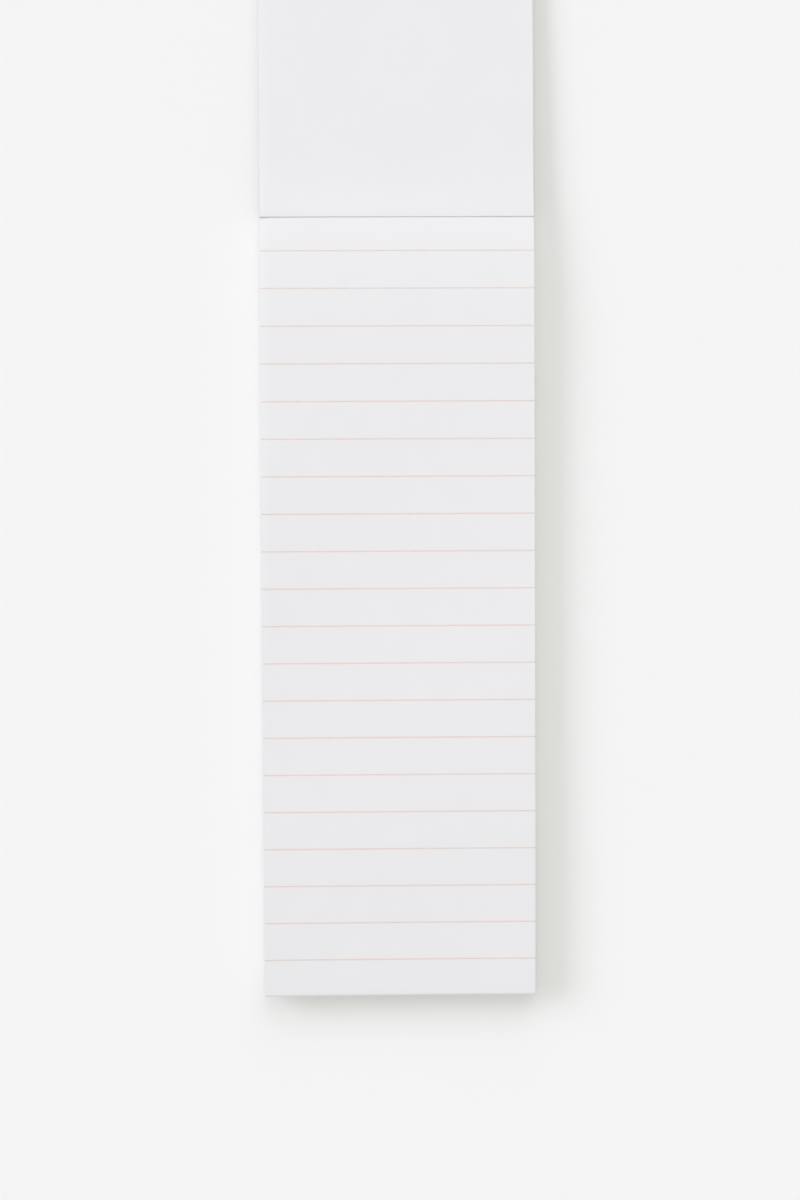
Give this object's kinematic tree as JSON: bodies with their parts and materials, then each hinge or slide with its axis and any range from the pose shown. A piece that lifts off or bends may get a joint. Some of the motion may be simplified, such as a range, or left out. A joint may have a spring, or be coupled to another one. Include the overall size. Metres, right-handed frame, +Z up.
{
  "type": "notepad",
  "caption": "Slim notepad lying open: ruled page block glued at its head into a folded card cover over a backing board, with a front cover that turns on its crease.",
  "frame": {"origin": "on the table, straight below the crease that the front cover turns on, midway across the pad", "axes": "+X across the pad, +Y along it from the tail of the sheets to the far edge of the open cover, +Z up from the table"},
  "size_m": [0.073, 0.4183, 0.0086],
  "materials": {
    "paper": "uncoated white paper",
    "glue": "dried padding glue",
    "board": "grey recycled board",
    "cover_card": "uncoated white card",
    "rule_ink": "pale printed rules"
  },
  "bodies": {
    "pad": {"page_block": "paper", "binding_glue": "glue", "backing_board": "board", "back_cover": "cover_card"},
    "cover": {"front_cover": "cover_card"}
  },
  "joints": [
    {"name": "cover_hinge", "type": "hinge", "parent": "pad", "child": "cover", "pos_m": [0, 0, 0.0069], "axis": [1, 0, 0], "range_deg": [0, 180]}
  ]
}
